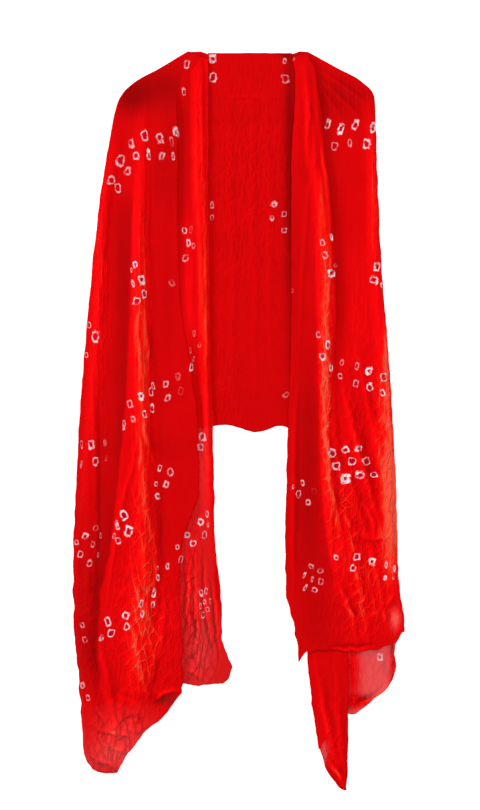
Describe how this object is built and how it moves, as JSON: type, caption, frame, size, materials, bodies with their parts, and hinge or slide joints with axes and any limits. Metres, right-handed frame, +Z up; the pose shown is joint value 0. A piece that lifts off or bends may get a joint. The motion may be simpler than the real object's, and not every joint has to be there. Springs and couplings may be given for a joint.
{
  "type": "tie-dyed stole",
  "caption": "Long thin crinkled stole laid flat: a back panel that folds over at both sides into two long pleated front flaps, with a dotted resist-dyed pattern",
  "frame": {"origin": "middle of the footprint, at table height", "axes": "X to the right across the two flaps, Y along them towards the neck edge, Z up from the table"},
  "size_m": [0.5306, 1.1814, 0.0256],
  "materials": {
    "cloth": "matt, crinkled and slightly sheer"
  },
  "bodies": {
    "root": {"cloth": "cloth"}
  },
  "joints": []
}
